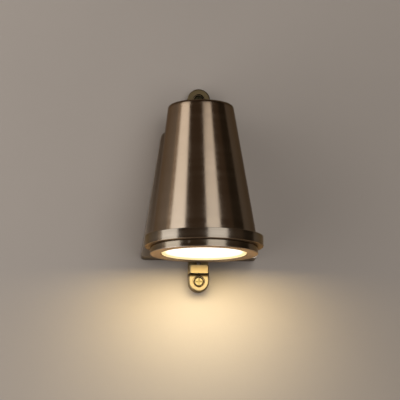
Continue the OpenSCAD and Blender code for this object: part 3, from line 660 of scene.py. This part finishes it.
def shadeGrid():
    # rows from foot to crown: box's foot, collar's seat, box with cone, bare cone, rounded crown; a row is
    # a half outline, the point in front and the half outline mirrored
    foot, top = shade["footHeight"], shade["topHeight"]
    edgeShare = 1 - np.cos(np.linspace(0, math.pi / 2, rowSteps["corner"]))
    slabHeights = np.concatenate([
        shade["boxFoot"] + shade["cornerRound"] * edgeShare[:rowSteps["slab"]], [shade["collarFoot"]]])
    slabHeights = np.unique(np.clip(slabHeights, None, shade["collarFoot"]))[:, None]
    seatHeights = np.linspace(shade["collarFoot"], foot, rowSteps["seat"])[:, None]
    boxHeights = np.concatenate([
        np.linspace(foot, shade["boxTop"] - shade["cornerRound"], rowSteps["box"], endpoint=False),
        (shade["boxTop"] - shade["cornerRound"] * edgeShare)[::-1]])[:, None]
    slope = math.atan((shade["footRadius"] - shade["topRadius"]) / (top - foot))
    roundHeight = top - shade["topRound"]
    roundCentre = shade["footRadius"] - (
        shade["topRound"] + (roundHeight - foot) * math.sin(slope)) / math.cos(slope)
    turn = np.linspace(slope, math.pi / 2, rowSteps["crown"])[:, None]
    tangentHeight = roundHeight + shade["topRound"] * math.sin(slope)
    coneHeights = np.linspace(
        shade["boxTop"], tangentHeight, rowSteps["cone"], endpoint=False)[:, None]
    roundHeights = roundHeight + shade["topRound"] * np.sin(turn)
    heights = np.concatenate([coneHeights, roundHeights])
    centre, radius = coneAt(heights)
    radius[len(coneHeights):] = roundCentre + shade["topRound"] * np.cos(turn)

    x, depth, contact, boxedRadius = joinedRows(boxHeights)
    meetX = contact[-1] * boxedRadius[-1] / (boxedRadius[-1] + shade["blend"])
    meeting = 180 - math.degrees(math.asin(meetX[0] / boxedRadius[-1][0]))
    collarRoom = place["collarRadius"] + shade["collarRoom"]
    bezelRoom = place["bezelRadius"] + shade["bezelRoom"]
    parts = [
        (*slabRows(slabHeights, bezelRoom), slabHeights), (*slabRows(seatHeights, collarRoom), seatHeights),
        (x, depth, boxHeights), (*coneRows(heights, centre, radius, meeting), heights)]
    halves = np.concatenate([placed(px, pd, ph) for px, pd, ph in parts])
    frontX = np.zeros((halves.shape[0], 1))
    frontDepth = np.concatenate([
        np.full((len(slabHeights) + len(seatHeights), 1), shade["lugDepth"]),
        sum(coneAt(boxHeights)), centre + radius])
    allHeights = np.concatenate([slabHeights, seatHeights, boxHeights, heights])
    front = placed(frontX, frontDepth, allHeights)
    mirrored = halves[:, :0:-1] * [-1, 1, 1]
    return np.concatenate([halves, front, mirrored], axis=1)


def makeShade():
    # the skin joined with its spigot, less the cavity, the carrier's seat, the back's hollows and the holes
    foot, axis, over = shade["footHeight"], place["axisDepth"], shade["over"]
    housing = stackObject("shadeAndBox", shadeGrid())
    turn = np.linspace(0, 2 * math.pi, shade["segments"], endpoint=False)[None, :]
    outer = shade["footRadius"] - shade["spigotInset"]
    radii = np.array([[outer], [outer], [outer - shade["spigotTaper"]]])
    spigot = placed(radii * np.sin(turn), axis + radii * np.cos(turn),
                    np.array([[foot - shade["spigot"]], [foot], [foot + shade["spigotRise"]]]))
    carve(housing, [stackObject("spigot", spigot)], "UNION")
    cavityHeights = np.array([[foot], [shade["topHeight"] - shade["crown"]]])
    centre, radius = coneAt(cavityHeights)
    inner = radius - shade["wall"]
    cavity = placed(inner * np.sin(turn), np.maximum(centre + inner * np.cos(turn), shade["padDepth"]),
                    cavityHeights)
    taper = (shade["footHalf"] - shade["topHalf"]) / (shade["boxTop"] - shade["boxFoot"])
    low, high = shade["boxFoot"] + shade["hollowFoot"], shade["boxTop"] - shade["hollowTop"]
    lowX, highX = [shade["footHalf"] - shade["hollowRim"] - taper * (height - shade["boxFoot"])
                   for height in (low, high)]
    hollows = [[(sign * shade["hollowInner"], low), (sign * lowX, low), (sign * highX, high),
                (sign * shade["hollowInner"], high)] for sign in (-1, 1)]
    cable, lock = shade["cableHeight"], shade["lockDepth"]
    carve(housing, [
        stackObject("cutter", cavity),
        rodCutter((0, axis, -over), (0, axis, shade["carrierTop"]), shade["carrierSeat"], shade["segments"]),
        blockCutter(shade["channelHalf"], -over, shade["channelDepth"], 0, shade["channelTop"]),
        *[prismCutter(outline, -over, shade["hollowDepth"]) for outline in hollows],
        *[blockCutter(*pocket) for pocket in shade["hookPockets"]],
        rodCutter((0, 0, cable), (0, shade["cableDepth"], cable), shade["cableHole"]),
        rodCutter((0, lock, 0), (0, lock, shade["lockTop"]), shade["lockHole"]),
        *[rodCutter((x, shade["screwNear"], height), (x, shade["screwFar"], height), shade["screwHole"])
          for x, height in shade["screwHoles"]],
    ])
    return smoothed(housing, shade["keepSharp"])


finished(makeShade(), metals["bronzeCone"], "bronze", "body", "housing")
print("shade made")

# Collar, bezel and glass
rings = {
    "collarBore": 36.08, "collarFoot": 5.26, "collarTop": 12.63, "collarLedge": 10.43, "collarEdge": 0.4,
    "collarFlat": 12.3,
    "bezelHeight": 5.0, "opening": 30.3, "ledge": 0.9, "neckRadius": 36.0, "neckTop": 10.3, "bore": 33.2,
    "grooveRadius": 34.35, "grooveFoot": 6.6, "grooveTop": 8.4, "bezelEdge": 0.35,
    "grubHeight": 3.3, "grubTurn": 21.0, "grubHole": 1.05, "grubInside": 0.5, "grubOutside": 1,
    "glassRadius": 31.5, "glassFoot": 1.6, "glassThickness": 3.5, "glassEdge": 0.3,
    "glassRim": [(26.0, 1.6), (27.4, 1.45), (28.6, 1.05), (29.3, 0.55), (29.6, 0.38), (29.85, 0.36),
                 (30.0, 0.5), (30.0, 1.6)],  # radius and height
    "segments": 288, "glassSegments": 192, "keepSharp": 40,
}


def makeCollar():
    # band with a step in its bore for the spigot, swept round and cut flat clear of the box's foot
    top, outer = rings["collarTop"], place["collarRadius"]
    profile = roundedProfile([
        (rings["collarBore"], rings["collarFoot"]), (outer, rings["collarFoot"]), (outer, top),
        (shade["footRadius"], top), (shade["footRadius"], rings["collarLedge"]),
        (rings["collarBore"], rings["collarLedge"])], rings["collarEdge"])
    return smoothed(turnedRing("collarBand", profile, rings["segments"], rings["collarFlat"]),
                    rings["keepSharp"])


def makeBezel():
    # stepped ring with the O-ring's groove in its neck, and a hole for the grub screw
    outer, neck = place["bezelRadius"], rings["neckRadius"]
    bore, opening, ledge, groove = rings["bore"], rings["opening"], rings["ledge"], rings["grooveRadius"]
    profile = roundedProfile([
        (opening + ledge, 0), (outer, 0), (outer, rings["bezelHeight"]), (neck, rings["bezelHeight"]),
        (neck, rings["grooveFoot"]), (groove, rings["grooveFoot"]), (groove, rings["grooveTop"]),
        (neck, rings["grooveTop"]), (neck, rings["neckTop"]), (bore, rings["neckTop"]), (bore, ledge),
        (opening, ledge)], rings["bezelEdge"])
    bezel = turnedRing("bezelRing", profile, rings["segments"])
    turn = math.radians(rings["grubTurn"])
    inner, far = bore - rings["grubInside"], outer + rings["grubOutside"]
    way = [(-radius * math.sin(turn), place["axisDepth"] + radius * math.cos(turn), rings["grubHeight"])
           for radius in (inner, far)]
    return smoothed(carve(bezel, [rodCutter(*way, rings["grubHole"])]), rings["keepSharp"])


def makeGlass():
    # disc with rounded edges, and a raised rim that fills the bezel's opening
    low, high = rings["glassFoot"], rings["glassFoot"] + rings["glassThickness"]
    edge = roundedProfile([(0, low), (rings["glassRadius"], low), (rings["glassRadius"], high), (0, high)],
                          rings["glassEdge"])
    edge = edge[edge[:, 0] > rings["glassRadius"] - 2 * rings["glassEdge"]]
    profile = np.concatenate([rings["glassRim"], edge])
    grid = turnedGrid(profile, rings["glassSegments"]).transpose(1, 0, 2)
    return smoothed(stackObject("frostedLens", grid), rings["keepSharp"])


finished(makeCollar(), metals["bronzeTurned"], "bronze", "body", "collar")
finished(makeBezel(), metals["bronzeBezel"], "bronze", "bezel", "bezel")
finished(makeGlass(), frostedGlass, "frosted_glass", "bezel", "lens_glass")
print("rings and glass made")

# Bracket: the CAD shape with its edges broken
bracket = {"edge": 0.3}
finished(easedCopy("wallBracket", "wall_bracket", bracket["edge"]), metals["bronzeBrushed"],
         "bronze", "body", "wall_bracket")
print("bracket made")

# The pieces that keep their CAD shape: material by node
kept = {
    "wall_screws": metals["bronzeScrew"], "screw_washers": plains["fibre"], "wall_gasket": plains["rubber"],
    "locking_screw": metals["blackened"], "cable_grommet": plains["rubber"], "carrier_ring": metals["steel"],
    "lamp_clip": metals["steel"], "lamp_reflector": metals["reflector"], "lamp_face": lampCover,
    "lamp_base": plains["ceramic"], "lamp_pins": metals["steel"], "lampholder": plains["ceramic"],
    "holder_strap": metals["steel"], "strap_screws": metals["steel"], "holder_screws": metals["steel"],
    "terminal_block": plains["terminalPlastic"], "terminal_clamp_screws": metals["brass"],
    "terminal_screw": metals["steel"], "bezel_grub_screw": metals["steel"], "bezel_o_ring": plains["rubber"],
    "lens_gasket": plains["rubber"], "lens_ring": metals["bronzeTurned"],
}
for name, material in kept.items():
    nodes[name].data.materials.clear()
    nodes[name].data.materials.append(material)
print("other pieces finished:", len(kept))

# Studio: a wall with a fill light, two tall soft boxes, and a dark room with two cards for the metal to mirror
studio = {
    "wallColor": (0.312, 0.272, 0.238), "wallTones": (0.96, 1.04), "wallScale": 60,
    "wallHole": [(5, 129), (5, 95), (25, 95), (40, 5), (5, 5), (5, -19)],  # half its outline, in millimetres
    "softBoxes": {  # azimuth in degrees, distance, width, height and middle in metres, radiance
        "leftBox": (-71, 0.75, 0.49, 1.95, 0.17, 2.95),
        "rightBox": (21, 1.6, 1.08, 3.3, 0.75, 2.35),
        "wallFill": (-64, 0.9, 0.8, 1.6, 0.1, 0.45),  # lights the wall and isn't mirrored
    },
    "roomRadius": 3.2, "roomColor": (0.125, 0.086, 0.057), "roomRows": 25, "roomColumns": 33,
    "cardX": 0.30, "cardLow": -1.0, "cardHigh": 1.5,
    "leftCard": ((0.75, 0.61, 0.48), 0.055), "rightCard": ((0.055, 0.041, 0.028), 0.15),  # colour and depth
    "surround": (0.80, 0.77, 0.73), "ambient": (0.058, 0.046, 0.035),
}


def openMesh(name, points, faces):
    # mesh of the studio, its points and faces as given
    mesh = bpy.data.meshes.new(name)
    mesh.from_pydata(points, [], faces)
    return mesh


def emitter(name, color, strength):
    # even glow and nothing else
    material = bpy.data.materials.new(name)
    material.use_nodes = True
    tree = material.node_tree
    tree.nodes.remove(tree.nodes["Principled BSDF"])
    light = addNode(tree, "ShaderNodeEmission", None, {"Color": (*color, 1), "Strength": strength})
    link(tree, light.outputs[0], tree.nodes["Material Output"].inputs["Surface"])
    return material


def makeWall():
    # painted wall that can't be seen from behind, and is open behind the box and bracket, so that the
    # light's back shows in the other views; the wall's outline is the hole's, enlarged about its middle
    middle = np.array([[0, place["frameHeight"]]])
    half = np.array(studio["wallHole"], float) - middle
    hole = np.concatenate([half, half[::-1] * [-1, 1]])
    outline = middle + np.stack([hole, studio["wallScale"] * hole])
    points = placed(outline[..., 0], 0, outline[..., 1])
    mesh = openMesh("wall", points.reshape(-1, 3).tolist(), gridFaces(2, len(hole), False, True).tolist())
    wall = bpy.data.objects.new("wall", mesh)
    bpy.context.scene.collection.objects.link(wall)
    paint = bpy.data.materials.new("wallPaint")
    paint.use_nodes = True
    tree = paint.node_tree
    shader = tree.nodes["Principled BSDF"]
    shader.inputs["Roughness"].default_value = 0.9
    shader.inputs["Specular IOR Level"].default_value = 0.2
    place3d = addNode(tree, "ShaderNodeTexCoord")
    mottle = addNode(tree, "ShaderNodeTexNoise", None, {"Scale": 9.0, "Detail": 5.0, "Roughness": 0.55})
    tooth = addNode(tree, "ShaderNodeTexNoise", None, {"Scale": 700.0, "Detail": 3.0})
    bump = addNode(tree, "ShaderNodeBump", None, {"Strength": 0.12, "Distance": 0.0003})
    for noise in (mottle, tooth):
        link(tree, place3d.outputs["Object"], noise.inputs["Vector"])
    link(tree, tooth.outputs["Fac"], bump.inputs["Height"])
    link(tree, bump.outputs["Normal"], shader.inputs["Normal"])
    dark, light = [tuple(tone * c for c in studio["wallColor"]) for tone in studio["wallTones"]]
    link(tree, mixColors(tree, mottle.outputs["Fac"], dark, light), shader.inputs["Base Color"])
    behind = addNode(tree, "ShaderNodeNewGeometry")
    clear = addNode(tree, "ShaderNodeBsdfTransparent")
    choose = addNode(tree, "ShaderNodeMixShader")
    link(tree, behind.outputs["Backfacing"], choose.inputs[0])
    link(tree, shader.outputs[0], choose.inputs[1])
    link(tree, clear.outputs[0], choose.inputs[2])
    link(tree, choose.outputs[0], tree.nodes["Material Output"].inputs["Surface"])
    mesh.materials.append(paint)


def mirroredOnly(obj, color):
    # stands in the studio where only the metal sees it
    bpy.context.scene.collection.objects.link(obj)
    obj.data.materials.append(emitter(obj.name + "Tone", color, 1.0))
    obj.visible_camera = obj.visible_diffuse = obj.visible_shadow = obj.visible_transmission = False


def makeRoom():
    # half a sphere in front of the wall, seen only in the metal: radius times sine and cosine of two angles
    rows, columns = studio["roomRows"], studio["roomColumns"]
    tilt = np.linspace(0, math.pi, rows)[:, None]
    turn = np.linspace(-math.pi / 2, math.pi / 2, columns)[None, :]
    points = studio["roomRadius"] * np.stack([
        np.sin(tilt) * np.sin(turn), -np.sin(tilt) * np.cos(turn), np.cos(tilt) + 0 * turn], axis=-1)
    mesh = openMesh("darkRoom", points.reshape(-1, 3).tolist(), gridFaces(rows, columns, False, False).tolist())
    mirroredOnly(bpy.data.objects.new("darkRoom", mesh), studio["roomColor"])


def makeCard(name, x):
    # upright card square to the wall, beside the light
    color, depth = studio[name]
    corners = [(x, 0, studio["cardLow"]), (x, -depth, studio["cardLow"]),
               (x, -depth, studio["cardHigh"]), (x, 0, studio["cardHigh"])]
    mirroredOnly(bpy.data.objects.new(name, openMesh(name, corners, [(0, 1, 2, 3)])), color)


def softBox(name, azimuth, distance, width, height, middle, radiance):
    # upright lit panel that faces the light, at an azimuth turned from the front towards +X; its power is
    # its radiance times pi times its area
    data = bpy.data.lights.new(name, "AREA")
    data.shape = "RECTANGLE"
    data.size, data.size_y = width, height
    data.energy = radiance * math.pi * width * height
    lamp = bpy.data.objects.new(name, data)
    turn = math.radians(azimuth)
    lamp.location = (distance * math.sin(turn), -distance * math.cos(turn), middle)
    lamp.rotation_euler = (math.radians(90), 0, turn)
    lamp.visible_camera = False
    bpy.context.scene.collection.objects.link(lamp)
    return lamp


def makeWorld():
    # pale where it is seen, also in glass and metal, and dim as light
    world = bpy.data.worlds.new("studioWorld")
    bpy.context.scene.world = world
    world.use_nodes = True
    tree = world.node_tree
    back = tree.nodes["Background"]
    path = addNode(tree, "ShaderNodeLightPath")
    seen = addNode(tree, "ShaderNodeMath", {"operation": "MAXIMUM"})
    either = addNode(tree, "ShaderNodeMath", {"operation": "MAXIMUM"})
    link(tree, path.outputs["Is Camera Ray"], seen.inputs[0])
    link(tree, path.outputs["Is Glossy Ray"], seen.inputs[1])
    link(tree, seen.outputs[0], either.inputs[0])
    link(tree, path.outputs["Is Transmission Ray"], either.inputs[1])
    link(tree, mixColors(tree, either.outputs[0], studio["ambient"], studio["surround"]),
         back.inputs["Color"])


makeWall()
makeRoom()
makeCard("leftCard", -studio["cardX"])
makeCard("rightCard", studio["cardX"])
for name, numbers in studio["softBoxes"].items():
    softBox(name, *numbers).visible_glossy = name != "wallFill"
makeWorld()

# The light that the lens throws down: a wide part and a narrower beam
glow = {
    "depth": 50, "height": -0.2,  # millimetres, the height above the bezel's foot
    "parts": {  # colour, power in watts, spread in degrees, width in millimetres, tilt in degrees
        "wide": ((1.0, 0.79, 0.39), 0.214, 175, 148, 0),
        "beam": ((1.0, 0.96, 0.76), 0.056, 134, 58, 4),
    },
}
for name, (color, power, spread, width, tilt) in glow["parts"].items():
    data = bpy.data.lights.new(name + "Glow", "AREA")
    data.shape, data.size, data.size_y, data.energy = "ELLIPSE", 0.001 * width, 0.001 * glow["depth"], power
    data.color, data.spread = color, math.radians(spread)
    lensLight = bpy.data.objects.new(name + "Glow", data)
    lensLight.location = placed(0, place["axisDepth"], glow["height"]).tolist()
    lensLight.rotation_euler = (math.radians(tilt), 0, 0)
    lensLight.visible_camera = False
    bpy.context.scene.collection.objects.link(lensLight)
    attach(lensLight, "bezel")

# Camera
view = {  # angles in degrees, lengths in metres, scale in metres per pixel at the aim
    "side": 5.0, "below": 10.4, "distance": 1.348, "aim": (0.00153, 0.0, -0.00606), "scale": 0.00074,
    "film": 36, "pixels": 400, "near": 0.05,
}
cameraData = bpy.data.cameras.new("camera")
cameraData.sensor_width = view["film"]
cameraData.lens = view["film"] * view["distance"] / view["scale"] / view["pixels"]
cameraData.clip_start = view["near"]
camera = bpy.data.objects.new("camera", cameraData)
side, below = math.radians(view["side"]), math.radians(view["below"])
camera.location = (
    view["aim"][0] - view["distance"] * math.sin(side) * math.cos(below),
    view["aim"][1] - view["distance"] * math.cos(side) * math.cos(below),
    view["aim"][2] - view["distance"] * math.sin(below),
)
camera.rotation_euler = (math.radians(90) + below, 0, -side)
bpy.context.scene.collection.objects.link(camera)
bpy.context.scene.camera = camera
bpy.context.scene.view_settings.view_transform = "Standard"
print("studio and camera set")
